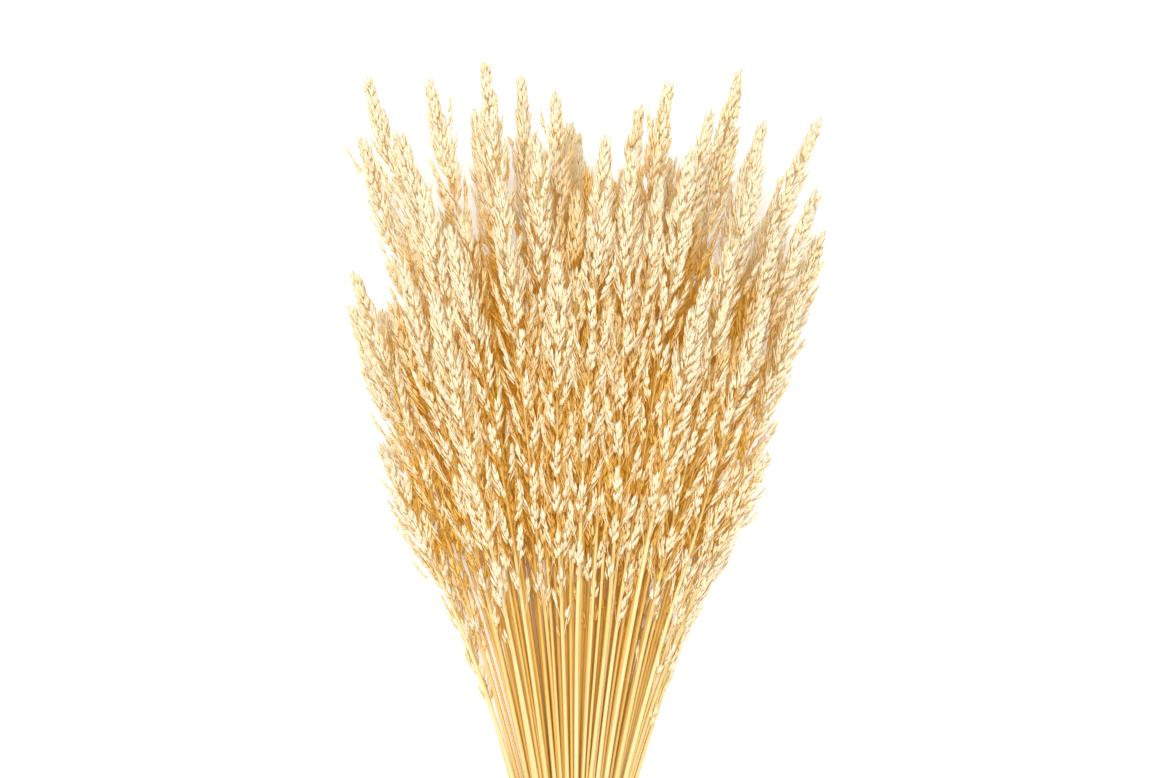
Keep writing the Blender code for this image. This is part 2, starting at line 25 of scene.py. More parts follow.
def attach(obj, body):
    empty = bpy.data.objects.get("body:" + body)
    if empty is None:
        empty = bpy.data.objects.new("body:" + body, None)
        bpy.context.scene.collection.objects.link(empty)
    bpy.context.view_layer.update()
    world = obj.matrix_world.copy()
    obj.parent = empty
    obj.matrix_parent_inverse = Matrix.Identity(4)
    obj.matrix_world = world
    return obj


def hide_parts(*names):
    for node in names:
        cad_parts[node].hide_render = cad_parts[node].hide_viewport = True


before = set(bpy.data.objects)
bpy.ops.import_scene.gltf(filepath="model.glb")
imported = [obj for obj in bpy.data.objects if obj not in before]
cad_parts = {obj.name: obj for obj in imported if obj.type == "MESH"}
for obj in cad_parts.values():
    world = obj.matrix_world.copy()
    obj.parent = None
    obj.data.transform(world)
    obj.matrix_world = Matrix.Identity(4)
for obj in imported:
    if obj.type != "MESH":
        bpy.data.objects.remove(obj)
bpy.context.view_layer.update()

MM = 0.001
SEED = 7
INNER_ROW_PITCH = 18 * MM
GOLDEN_TURN = 2.4
WELD = 0.002 * MM
LOG = logging.getLogger("diss_grass")
Colour = tuple[float, float, float]


class Slot(Enum):
    """Finishes that the record names."""

    GRASS = "dried_grass"
    TWINE = "twine"


class Dress(Enum):
    """Material places on a grass piece, in the order of its slots."""

    CULM = 0
    SPIKELET = 1
    PITH = 2


class Value:
    """A number that varies over a surface, with arithmetic that adds its nodes."""

    def __init__(self, tree: "ShaderTree", socket: bpy.types.NodeSocket) -> None:
        """Keep the tree and the socket that gives the number."""
        self.tree = tree
        self.socket = socket

    def maths(self, operation: str, first: "Number", second: "Number" = 0.0, clamp: bool = False) -> "Value":
        """Add one Math node.

        Args:
            operation: Name of the node's operation.
            first: First number or value.
            second: Second number or value.
            clamp: Whether the result stays from 0 to 1.

        Returns:
            The node's result.
        """
        node = self.tree.node("ShaderNodeMath", {"operation": operation, "use_clamp": clamp},
                              {0: first, 1: second})
        return Value(self.tree, node.outputs[0])

    def __add__(self, other: "Number") -> "Value":
        """Sum."""
        return self.maths("ADD", self, other)

    def __sub__(self, other: "Number") -> "Value":
        """Difference."""
        return self.maths("SUBTRACT", self, other)

    def __rsub__(self, other: "Number") -> "Value":
        """Difference from a number."""
        return self.maths("SUBTRACT", other, self)

    def __mul__(self, other: "Number") -> "Value":
        """Product."""
        return self.maths("MULTIPLY", self, other)

    def __pow__(self, other: "Number") -> "Value":
        """Power."""
        return self.maths("POWER", self, other)

    __radd__ = __add__
    __rmul__ = __mul__

    def within(self, low: float, high: float) -> "Value":
        """Stretch the range from low to high to 0 to 1, with soft ends.

        Args:
            low: Number that becomes 0.
            high: Number that becomes 1.

        Returns:
            The stretched value.
        """
        node = self.tree.node("ShaderNodeMapRange", {"interpolation_type": "SMOOTHSTEP"},
                              {"Value": self, "From Min": low, "From Max": high})
        return Value(self.tree, node.outputs[0])


Number = Union[float, Value]


class ShaderTree:
    """The nodes of one material."""

    def __init__(self, name: str) -> None:
        """Make a material with a Principled shader."""
        self.material = bpy.data.materials.new(name)
        self.material.use_nodes = True
        self.shader = self.material.node_tree.nodes["Principled BSDF"]

    def node(self, kind: str, settings: dict | None = None, inputs: dict | None = None) -> bpy.types.Node:
        """Add a node.

        Args:
            kind: The node's type.
            settings: Its own settings, which are set first.
            inputs: Numbers, colours, sockets or values for its sockets, by name or index.

        Returns:
            The node.
        """
        made = self.material.node_tree.nodes.new(kind)
        for name, setting in (settings or {}).items():
            setattr(made, name, setting)
        for key, given in (inputs or {}).items():
            self.feed(made.inputs[key], given)
        return made

    def feed(self, socket: bpy.types.NodeSocket, given: object) -> None:
        """Link a value or socket to a socket, or set its number or colour."""
        if isinstance(given, Value):
            given = given.socket
        if isinstance(given, bpy.types.NodeSocket):
            self.material.node_tree.links.new(given, socket)
        elif isinstance(given, tuple) and socket.type == "RGBA":
            socket.default_value = (*given[:3], 1.0)
        else:
            socket.default_value = given

    def dress(self, name: str, given: object) -> None:
        """Feed one socket of the shader itself."""
        self.feed(self.shader.inputs[name], given)

    def attribute(self, name: str) -> bpy.types.Node:
        """Node that reads one of the mesh's own attributes."""
        return self.node("ShaderNodeAttribute", {"attribute_name": name})

    def number(self, name: str) -> Value:
        """Number kept in one of the mesh's own attributes."""
        return Value(self, self.attribute(name).outputs["Fac"])

    def mix(self, share: Number, first: object, second: object, blend: str = "MIX") -> bpy.types.NodeSocket:
        """Mix two colours.

        Args:
            share: Share of the second colour.
            first: Colour or socket.
            second: Colour or socket.
            blend: How the second colour acts on the first.

        Returns:
            The socket of the mixed colour.
        """
        node = self.node("ShaderNodeMix", {"data_type": "RGBA", "blend_type": blend},
                         {0: share, 6: first, 7: second})
        return node.outputs[2]

    def stretched(self, vector: bpy.types.NodeSocket, scale: Sequence[float], shift: Number = 0.0) -> object:
        """Scale a position along its three axes, and shift it evenly.

        Args:
            vector: Position.
            scale: Factors of the three axes.
            shift: Distance, added to all three after the scaling.

        Returns:
            The socket of the new position.
        """
        scaled = self.node("ShaderNodeVectorMath", {"operation": "MULTIPLY"}, {0: vector, 1: tuple(scale)})
        moved = self.node("ShaderNodeVectorMath", {"operation": "ADD"}, {0: scaled.outputs[0]})
        self.feed(moved.inputs[1], shift)
        return moved.outputs[0]

    def noise(self, vector: object, scale: float, detail: float = 2.0, roughness: float = 0.5) -> Value:
        """Soft random value.

        Args:
            vector: Position that it is read at.
            scale: How many times it changes over one unit.
            detail: Number of finer layers.
            roughness: Strength of the finer layers.

        Returns:
            The value, about 0 to 1.
        """
        node = self.node("ShaderNodeTexNoise", {}, {"Vector": vector, "Scale": scale, "Detail": detail,
                                                    "Roughness": roughness})
        return Value(self, node.outputs[0])

    def bump(self, height: Value, distance: float, strength: float = 1.0) -> bpy.types.NodeSocket:
        """Normal of a surface with small relief.

        Args:
            height: Height, from 0 to 1.
            distance: Real height of 1, in metres.
            strength: Share of the relief that shows.

        Returns:
            The socket of the normal.
        """
        node = self.node("ShaderNodeBump", {}, {"Height": height, "Distance": distance,
                                                "Strength": strength})
        return node.outputs[0]


@dataclass(frozen=True)
class SpikeletFinish:
    """Papery pale scales, golden where they leave the branch, with painted amber shade and a painted glow that
    grows warmer under the bundle's surface.
    """

    tip: Colour = (0.97, 0.87, 0.67)
    middle: Colour = (0.97, 0.82, 0.54)
    base: Colour = (0.94, 0.68, 0.28)
    husk: Colour = (0.94, 0.73, 0.38)
    # Colour of the painted shade, far under the bundle's surface.
    painted_shade: Colour = (0.90, 0.57, 0.10)
    # Emission colours of a painted glow, outside and far under the bundle's surface, and its strength; the
    # glow stands in for light shining through and bouncing between the scales.
    lit: Colour = (0.62, 0.47, 0.27)
    painted_inner_glow: Colour = (0.72, 0.38, 0.03)
    glow: float = 0.13
    roughness: float = 0.58

    def material(self) -> bpy.types.Material:
        """Make the material."""
        tree = ShaderTree("spikelet_straw")
        along = tree.number("along")
        tone = tree.number("tone")
        painted_shade_depth = tree.number("painted_shade_depth")
        place = tree.attribute("fibre").outputs["Vector"]
        nerves = tree.noise(tree.stretched(place, (2600, 2600, 90), tone * 40), 1.0, 2.0, 0.6)
        patches = tree.noise(tree.stretched(place, (260, 260, 160), tone * 57), 1.0, 1.0)
        colour = tree.mix(along.within(0.0, 0.34), self.base, self.middle)
        colour = tree.mix(along.within(0.3, 0.75), colour, self.tip)
        colour = tree.mix(tone.within(0.52, 1.0) * 0.8, colour, self.husk)
        colour = tree.mix(nerves.within(0.42, 0.72) * 0.30, colour, self.husk)
        colour = tree.mix(patches.within(0.55, 0.8) * 0.25, colour, self.base)
        # Painted shade: the further a point lies under the bundle's surface, the more its colour turns to the
        # amber painted shade.
        tree.dress("Base Color", tree.mix(painted_shade_depth.within(0.08, 0.95) * 0.95, colour, self.painted_shade))
        tree.dress("Roughness", self.roughness + nerves * 0.12)
        tree.dress("Normal", tree.bump(nerves, 0.05 * MM, 0.6))
        tree.dress("Specular IOR Level", 0.35)
        # Painted glow: the scales emit light everywhere, more amber under the bundle's surface, in place of
        # light through and between them.
        tree.dress("Emission Color", tree.mix(painted_shade_depth.within(0.0, 0.8), self.lit, self.painted_inner_glow))
        tree.dress("Emission Strength", self.glow)
        return tree.material


@dataclass(frozen=True)
class CulmFinish:
    """Smooth golden straw with fine lengthwise lines, with painted amber shade and a painted amber glow under
    the bundle's surface.
    """

    pale: Colour = (0.90, 0.73, 0.37)
    gold: Colour = (0.84, 0.57, 0.17)
    line: Colour = (0.72, 0.42, 0.10)
    # Next: colour of the painted shade under the bundle's surface, then colour and strength of a painted amber
    # glow there.
    painted_shade: Colour = (0.74, 0.44, 0.07)
    painted_inner_glow: Colour = (0.9, 0.46, 0.05)
    glow: float = 0.05
    roughness: float = 0.36

    def material(self) -> bpy.types.Material:
        """Make the material."""
        tree = ShaderTree("culm_straw")
        tone = tree.number("tone")
        painted_shade_depth = tree.number("painted_shade_depth")
        place = tree.attribute("fibre").outputs["Vector"]
        lines = tree.noise(tree.stretched(place, (1900, 1900, 9), tone * 31), 1.0, 3.0, 0.6)
        clouds = tree.noise(tree.stretched(place, (90, 90, 14), tone * 73), 1.0, 2.0)
        colour = tree.mix(tone.within(0.1, 0.95), self.pale, self.gold)
        colour = tree.mix(clouds.within(0.35, 0.75) * 0.55, colour, self.gold)
        colour = tree.mix(lines.within(0.5, 0.78) * 0.5, colour, self.line)
        # Painted shade: the further under the bundle's surface, the more the colour turns to the amber painted
        # shade.
        tree.dress("Base Color", tree.mix(painted_shade_depth.within(0.1, 1.0) * 0.85, colour, self.painted_shade))
        tree.dress("Roughness", self.roughness + lines * 0.16)
        tree.dress("Normal", tree.bump(lines, 0.06 * MM, 0.7))
        tree.dress("Coat Weight", 0.12)
        tree.dress("Coat Roughness", 0.3)
        # Painted glow: under the bundle's surface the culm emits an amber light.
        tree.dress("Emission Color", tree.mix(painted_shade_depth.within(0.1, 0.9), (0.0, 0.0, 0.0), self.painted_inner_glow))
        tree.dress("Emission Strength", self.glow)
        return tree.material


@dataclass(frozen=True)
class PithFinish:
    """Pale spongy pith that a cut culm shows."""

    pale: Colour = (0.86, 0.77, 0.56)
    brown: Colour = (0.55, 0.38, 0.18)

    def material(self) -> bpy.types.Material:
        """Make the material."""
        tree = ShaderTree("culm_pith")
        place = tree.attribute("fibre").outputs["Vector"]
        pores = tree.noise(place, 3600.0, 2.0, 0.6)
        tree.dress("Base Color", tree.mix(pores.within(0.45, 0.7), self.pale, self.brown))
        tree.dress("Roughness", 0.8 + pores * 0.1)
        tree.dress("Normal", tree.bump(pores, 0.12 * MM))
        return tree.material


@dataclass(frozen=True)
class TwineFinish:
    """Hard brown plant fibre, spun in strands."""

    light: Colour = (0.50, 0.33, 0.16)
    dark: Colour = (0.22, 0.12, 0.05)

    def material(self) -> bpy.types.Material:
        """Make the material."""
        tree = ShaderTree("twine_fibre")
        tone = tree.number("tone")
        place = tree.attribute("fibre").outputs["Vector"]
        hairs = tree.noise(tree.stretched(place, (4200, 4200, 260), tone * 19), 1.0, 3.0, 0.65)
        clouds = tree.noise(tree.stretched(place, (300, 300, 90), tone * 7), 1.0, 1.0)
        colour = tree.mix(hairs.within(0.35, 0.7), self.dark, self.light)
        colour = tree.mix(clouds.within(0.45, 0.8) * 0.4, colour, self.dark)
        tree.dress("Base Color", colour)
        tree.dress("Roughness", 0.78 + hairs * 0.15)
        tree.dress("Normal", tree.bump(hairs, 0.16 * MM))
        return tree.material


@dataclass(frozen=True)
class FloorFinish:
    """White studio table, lit so evenly that it glows a little."""

    white: Colour = (0.90, 0.90, 0.90)
    glow: float = 0.30

    def material(self) -> bpy.types.Material:
        """Make the material."""
        tree = ShaderTree("white_table")
        tree.dress("Base Color", self.white)
        tree.dress("Roughness", 0.9)
        tree.dress("Emission Color", (1.0, 1.0, 1.0))
        tree.dress("Emission Strength", self.glow)
        return tree.material


class MiddleLine:
    """Smooth line through the middles of a stem, read by the distance along the bundle."""

    STRAIGHT_HALF = 10.5 * MM

    def __init__(self, points: Sequence[Vector]) -> None:
        """Keep the points, in their order along +Y, and the line's slope at each."""
        self.points = list(points)
        self.levels = [point.y for point in points]
        self.slopes = [self._slope(place) for place in range(len(points))]

    def _slope(self, place: int) -> Vector:
        """Slope at one of the points. Through the tie the line runs straight along the bundle."""
        if abs(self.levels[place]) < self.STRAIGHT_HALF:
            return Vector((0.0, 1.0, 0.0))
        chords = []
        for first in (place - 1, place):
            if 0 <= first < len(self.points) - 1:
                step = self.points[first + 1] - self.points[first]
                chords.append(step / step.y)
        if len(chords) == 1:
            return chords[0]
        before = self.levels[place] - self.levels[place - 1]
        after = self.levels[place + 1] - self.levels[place]
        return (chords[0] * after + chords[1] * before) / (before + after)

    def _piece(self, y: float) -> tuple[Vector, Vector, Vector, Vector, float, float]:
        """Ends, slopes, length and share of the stretch that holds y."""
        first = min(max(bisect_right(self.levels, y) - 1, 0), len(self.levels) - 2)
        length = self.levels[first + 1] - self.levels[first]
        share = min(max((y - self.levels[first]) / length, 0.0), 1.0)
        return (self.points[first], self.points[first + 1], self.slopes[first], self.slopes[first + 1],
                length, share)

    def at(self, y: float) -> Vector:
        """Point of the line at y; beyond its ends it runs straight on."""
        if y <= self.levels[0]:
            return self.points[0] + self.slopes[0] * (y - self.levels[0])
        if y >= self.levels[-1]:
            return self.points[-1] + self.slopes[-1] * (y - self.levels[-1])
        start, end, leave, arrive, length, t = self._piece(y)
        return (start * (1 + 2 * t) * (1 - t) ** 2 + end * (3 - 2 * t) * t ** 2
                + leave * length * t * (1 - t) ** 2 + arrive * length * t ** 2 * (t - 1))

    def ahead(self, y: float) -> Vector:
        """Direction of the line at y."""
        return (self.at(y + 1 * MM) - self.at(y - 1 * MM)).normalized()

    def level_of(self, point: Vector) -> float:
        """Distance along the bundle at which the line passes nearest to a point."""
        y = point.y
        for _ in range(3):
            y += (point - self.at(y)).dot(self.ahead(y))
        return y


@dataclass
class BranchPoint:
    """End of one branch of spikelets, and the row of the head that it grows from."""

    place: Vector
    row_level: float


@dataclass
class StemPlan:
    """The line of one stem, the ends of its head, and the points that its branches reach."""

    line: MiddleLine
    head_base: float
    tip: float
    row_pitch: float
    branches: list[BranchPoint]

    SIDES = 6

    @classmethod
    def read(cls, node: bpy.types.Object) -> "StemPlan":
        """Read one grass solid of the frame row by row.

        Args:
            node: The node's object.

        Returns:
            The plan of its stem.
        """
        shape = bmesh.new()
        shape.from_mesh(node.data)
        bmesh.ops.remove_doubles(shape, verts=shape.verts, dist=WELD)
        middles: list[Vector] = []
        branches: list[BranchPoint] = []
        first_branch = None
        rows = cls._rows(shape)
        for place, row in enumerate(rows):
            flat, stands = cls._halves(row, place in (0, len(rows) - 1))
            middle = sum((vert.co for vert in flat), Vector()) / len(flat)
            radius = (flat[0].co - middle).length
            for vert in stands:
                if (vert.co - middle).length > 1.4 * radius + 1 * MM:
                    branches.append(BranchPoint(vert.co.copy(), middle.y))
                    if first_branch is None:
                        first_branch = place
            middles.append(middle)
        shape.free()
        head_base = middles[first_branch - 1].y
        pitch = (middles[-1].y - head_base) / (len(middles) - first_branch)
        return cls(MiddleLine(middles), head_base, middles[-1].y, pitch, branches)

    @classmethod
    def between(cls, room: "Room", reach: float, rng: random.Random) -> "StemPlan":
        """Plan a slimmer stem in the room between others.

        Args:
            room: The room.
            reach: How far its branches stand from its line.
            rng: Random draws.

        Returns:
            The plan, with a head that ends below the others' tips.
        """
        tip = min(plan.tip for plan in room.plans) - rng.uniform(4, 40) * MM
        head_base = sum(plan.head_base for plan in room.plans) / len(room.plans) + rng.uniform(0, 110) * MM
        head_base = min(head_base, tip - 130 * MM)
        levels = [level for level in room.plans[0].line.levels if level < tip - 10 * MM] + [tip]
        line = MiddleLine([room.at(y) for y in levels])
        rows = max(4, round((tip - head_base) / INNER_ROW_PITCH))
        pitch = (tip - head_base) / rows
        branches = []
        for row in range(1, rows):
            for column in range(3):
                y = min(head_base + pitch * (row + 1.2 + rng.uniform(0, 0.5)), tip - 4 * MM)
                angle = math.tau * (column / 3 + row / 6) + rng.uniform(-0.4, 0.4)
                narrow = min(1.0, 0.35 + (tip - y) / (60 * MM))
                out = reach * narrow * rng.uniform(0.85, 1.15)
                away = Matrix.Rotation(angle, 3, line.ahead(y)) @ Vector((0, 0, 1))
                branches.append(BranchPoint(line.at(y) + away * out, head_base + pitch * row))
        return cls(line, head_base, tip, pitch, branches)

    @classmethod
    def _rows(cls, shape: bmesh.types.BMesh) -> list[list[bmesh.types.BMVert]]:
        """Rows of corners from the cut end on, each one edge further than the last."""
        row = sorted(shape.verts, key=lambda vert: vert.co.y)[:cls.SIDES]
        seen = set(row)
        rows = []
        while row:
            rows.append(row)
            near = [edge.other_vert(vert) for vert in row for edge in vert.link_edges]
            row = [vert for vert in dict.fromkeys(near) if vert not in seen]
            seen.update(row)
        return rows

    @staticmethod
    def _halves(row: list[bmesh.types.BMVert], closed: bool) -> tuple[list, list]:
        """Split a row in two sets of every other corner, the even one first."""
        if closed:
            return row, []
        ring = [row[0]]
        while len(ring) < len(row):
            near = [edge.other_vert(ring[-1]) for edge in ring[-1].link_edges]
            ring.append(next(vert for vert in near if vert in row and vert not in ring))

        def uneven(half: list[bmesh.types.BMVert]) -> float:
            """Difference between the longest and the shortest side of three corners."""
            sides = [(half[n].co - half[n - 1].co).length for n in range(len(half))]
            return max(sides) - min(sides)

        halves = sorted((ring[0::2], ring[1::2]), key=uneven)
        return halves[0], halves[1]


def new_shape() -> bmesh.types.BMesh:
    """Empty bmesh with the attributes that the finishes read."""
    shape = bmesh.new()
    shape.verts.layers.float.new("along")
    shape.verts.layers.float.new("tone")
    shape.verts.layers.float_vector.new("fibre")
    return shape


class PaintedShadeMap:
    """Depth of each point under the bundle's surface, which sets where shade and glow are painted into the
    straw.
    """

    FACINGS = 12
    CELL = 10 * MM
    EDGE = 300 * MM
    SPREAD = 2
    SLOPE = 3.5 * MM
    # Depth under the surface at which the painted shade is full, at each level along the bundle.
    LEVELS = (0 * MM, 250 * MM, 380 * MM, 500 * MM, 600 * MM)
    FULL = (6 * MM, 12 * MM, 23 * MM, 36 * MM, 80 * MM)

    def __init__(self, plans: Sequence[StemPlan]) -> None:
        """Measure the height of the bundle's surface, cell by cell, towards every side."""
        points = [tuple(point.place) for plan in plans for point in plan.branches]
        for plan in plans:
            steps = round((plan.tip - plan.line.levels[0]) / self.CELL)
            points += [tuple(plan.line.at(plan.line.levels[0] + step * self.CELL)) for step in range(steps)]
        known = np.array(points)
        angles = [math.tau * number / self.FACINGS for number in range(self.FACINGS)]
        self.facings = [(math.cos(angle), math.sin(angle)) for angle in angles]
        self.start = known[:, 1].min() - (self.SPREAD + 1) * self.CELL
        size = (round(2 * self.EDGE / self.CELL),
                round((known[:, 1].max() - self.start) / self.CELL) + self.SPREAD + 3)
        self.surfaces = []
        for facing in self.facings:
            across, along, reach = self._seen(known, facing)
            surface = np.full(size, -self.EDGE)
            for dx in range(-self.SPREAD, self.SPREAD + 1):
                for dy in range(-self.SPREAD, self.SPREAD + 1):
                    spot = (np.rint(across).astype(int) + dx, np.rint(along).astype(int) + dy)
                    np.maximum.at(surface, spot, reach - self.SLOPE * math.hypot(dx, dy))
            self.surfaces.append(surface)

    def _seen(self, points: np.ndarray, facing: tuple[float, float]) -> tuple[np.ndarray, ...]:
        """Cells across and along the bundle, and heights, of points seen from one side."""
        across = (points[:, 2] * facing[0] - points[:, 0] * facing[1] + self.EDGE) / self.CELL
        along = (points[:, 1] - self.start) / self.CELL
        return across, along, points[:, 0] * facing[0] + points[:, 2] * facing[1]

    def mark(self, piece: bpy.types.Object) -> None:
        """Write the depth of a piece's corners as an attribute for the painted shade and glow, from 0 at the
        bundle's surface to 1 far under it.
        """
        flat = np.empty(len(piece.data.vertices) * 3, dtype=np.float32)
        piece.data.vertices.foreach_get("co", flat)
        places = flat.reshape(-1, 3)
        cover = np.full(len(places), np.inf)
        for facing, surface in zip(self.facings, self.surfaces):
            across, along, reach = self._seen(places, facing)
            column = np.clip(across.astype(int), 0, surface.shape[0] - 2)
            row = np.clip(along.astype(int), 0, surface.shape[1] - 2)
            right = np.clip(across - column, 0.0, 1.0)
            ahead = np.clip(along - row, 0.0, 1.0)
            height = (surface[column, row] * (1 - right) * (1 - ahead)
                      + surface[column + 1, row] * right * (1 - ahead)
                      + surface[column, row + 1] * (1 - right) * ahead
                      + surface[column + 1, row + 1] * right * ahead)
            cover = np.minimum(cover, height - reach)
        share = np.clip(cover / np.interp(places[:, 1], self.LEVELS, self.FULL), 0.0, 1.0)
        attribute = piece.data.attributes.new("painted_shade_depth", "FLOAT", "POINT")
        attribute.data.foreach_set("value", share.astype(np.float32))


def finished(name: str, shape: bmesh.types.BMesh, materials: Sequence[bpy.types.Material]) -> bpy.types.Object:
    """Make an object of a bmesh, which is freed.

    Args:
        name: The object's name.
        shape: Its mesh.
        materials: Its materials, in the order of their places.

    Returns:
        The object, linked to the scene.
    """
    mesh = bpy.data.meshes.new(name)
    shape.to_mesh(mesh)
    shape.free()
    mesh.shade_smooth()
    for material in materials:
        mesh.materials.append(material)
    piece = bpy.data.objects.new(name, mesh)
    bpy.context.scene.collection.objects.link(piece)
    return piece


def cross_frame(place: Vector, ahead: Vector, outward: Vector, radius: float) -> Matrix:
    """Frame of a section: +Z ahead, +Y outward, scaled across by its radius.

    Args:
        place: Middle of the section.
        ahead: Direction that the piece grows in.
        outward: Direction that its +Y leans to.
        radius: Radius of the section.

    Returns:
        The frame as a matrix.
    """
    z = ahead.normalized()
    y = (outward - z * outward.dot(z)).normalized()
    x = y.cross(z)
    turn = Matrix((x, y, z)).transposed().to_4x4()
    return Matrix.Translation(place) @ turn @ Matrix.Diagonal((radius, radius, 1.0, 1.0))


def grow_tube(shape: bmesh.types.BMesh, frames: Sequence[Matrix], sides: int, tone: float,
              dress: int = 0) -> list[bmesh.types.BMFace]:
    """Grow a closed tube by extruding a circle from frame to frame.

    Args:
        shape: Mesh that the tube is added to.
        frames: Frames of its sections, from its root to its tip.
        sides: Number of its sides.
        tone: Tone of the whole tube, from 0 to 1.
        dress: Material place of its faces.

    Returns:
        The cap at its root and the cap at its tip.
    """
    along = shape.verts.layers.float["along"]
    tones = shape.verts.layers.float["tone"]
    fibre = shape.verts.layers.float_vector["fibre"]
    ring = bmesh.ops.create_circle(shape, cap_ends=True, segments=sides, radius=1.0,
                                   matrix=frames[0])["verts"]
    root = ring[0].link_faces[0]
    rim = list(root.edges)
    faces = [root]
    length = 0.0
    for place, after in enumerate(frames):
        if place > 0:
            before = frames[place - 1]
            grown = bmesh.ops.extrude_edge_only(shape, edges=rim)["geom"]
            ring = [item for item in grown if isinstance(item, bmesh.types.BMVert)]
            faces += [item for item in grown if isinstance(item, bmesh.types.BMFace)]
            fresh = set(ring)
            rim = [item for item in grown if isinstance(item, bmesh.types.BMEdge)
                   and item.verts[0] in fresh and item.verts[1] in fresh]
            bmesh.ops.transform(shape, matrix=after @ before.inverted(), verts=ring)
            length += (after.translation - before.translation).length
        radius = after.col[0].xyz.length
        back = after.inverted()
        for vert in ring:
            local = back @ vert.co
            vert[fibre] = Vector((local.x * radius, local.y * radius, length))
            vert[along] = place / (len(frames) - 1)
            vert[tones] = tone
    cap = bmesh.ops.contextual_create(shape, geom=rim)["faces"]
    faces += cap
    for face in faces:
        face.material_index = dress
    return [root, cap[0]]


@dataclass(frozen=True)
class Scale:
    """One papery scale of a spikelet, in shares of the spikelet's length and half width."""

    side: float
    start: float
    length: float
    rows: int = 3


@dataclass
class SpikeletShapes:
    """Spikelets in a few forms, each a slim sheaf of pointed, keeled scales."""

    forms: int = 9
    length: float = 12.5 * MM
    scale_width: float = 3.3 * MM
    keel_height: float = 1.0 * MM
    fan: float = math.radians(6.0)
    bow: float = 0.6 * MM
    sheaves: tuple[tuple[Scale, ...], ...] = (
        (Scale(-0.3, 0.0, 0.95), Scale(0.9, 0.04, 0.78, 2)),
        (Scale(0.3, 0.0, 0.92), Scale(-0.9, 0.08, 0.80, 2)),
        (Scale(0.0, 0.05, 0.95), Scale(0.7, 0.0, 0.70, 2)),
    )
    meshes: list[bpy.types.Mesh] = field(default_factory=list)

    SIDES = 3

    def make(self, rng: random.Random) -> None:
        """Make the forms as meshes along +Z, with their keels towards +Y."""
        for form in range(self.forms):
            shape = new_shape()
            for scale in self.sheaves[form % len(self.sheaves)]:
                self._scale(shape, scale, rng)
            bmesh.ops.recalc_face_normals(shape, faces=shape.faces)
            for face in shape.faces:
                face.material_index = Dress.SPIKELET.value
            mesh = bpy.data.meshes.new(f"spikelet_{form + 1}")
            shape.to_mesh(mesh)
            shape.free()
            self.meshes.append(mesh)

    def _scale(self, shape: bmesh.types.BMesh, scale: Scale, rng: random.Random) -> None:
        """Add one scale: a three-sided hull that is widest low down and ends in a point.

        Args:
            shape: Mesh of the spikelet.
            scale: Its place in the sheaf.
            rng: Random draws.
        """
        along = shape.verts.layers.float["along"]
        fibre = shape.verts.layers.float_vector["fibre"]
        verts = bmesh.ops.create_uvsphere(shape, u_segments=self.SIDES, v_segments=scale.rows,
                                          radius=1.0)["verts"]
        width = self.scale_width * rng.uniform(0.85, 1.1) / 2
        keel = self.keel_height * rng.uniform(0.85, 1.15) / 2
        length = scale.length * self.length * rng.uniform(0.95, 1.05)
        lean = Matrix.Rotation(self.fan * scale.side * rng.uniform(0.8, 1.3), 3, "Y")
        pitch = Matrix.Rotation(math.radians(rng.uniform(-3, 3)), 3, "X")
        for vert in verts:
            part = (1 + vert.co.z) / 2 - 0.08 * (1 - vert.co.z ** 2)
            full = 2.17 * (1 - part) ** 0.9 * part ** 0.35 if 0 < part < 1 else 0.0
            across = Vector((vert.co.y, -vert.co.x, 0.0))
            if across.length > 1e-6:
                across.normalize()
            spread = math.sin(math.pi * part)
            place = Vector((across.x * width * full + scale.side * 0.35 * width * spread,
                            -across.y * keel * full + self.bow * spread * (1 - abs(scale.side)),
                            scale.start * self.length + part * length))
            vert.co = pitch @ lean @ place
            vert[along] = part
            vert[fibre] = place + Vector((scale.side * 3 * MM, 0, 0))

    def place(self, shape: bmesh.types.BMesh, matrix: Matrix, tone: float, rng: random.Random) -> None:
        """Add one spikelet to a mesh.

        Args:
            shape: Mesh of a branch.
            matrix: Its place, turn and size.
            tone: Its tone, from 0 to 1.
            rng: Random draws, which pick its form.
        """
        first = len(shape.verts)
        shape.from_mesh(rng.choice(self.meshes))
        shape.verts.ensure_lookup_table()
        fresh = shape.verts[first:]
        bmesh.ops.transform(shape, matrix=matrix, verts=fresh)
        tones = shape.verts.layers.float["tone"]
        for vert in fresh:
            vert[tones] = tone

    def discard(self) -> None:
        """Remove the forms once every head has its own copies."""
        for mesh in self.meshes:
            bpy.data.meshes.remove(mesh)
        self.meshes.clear()


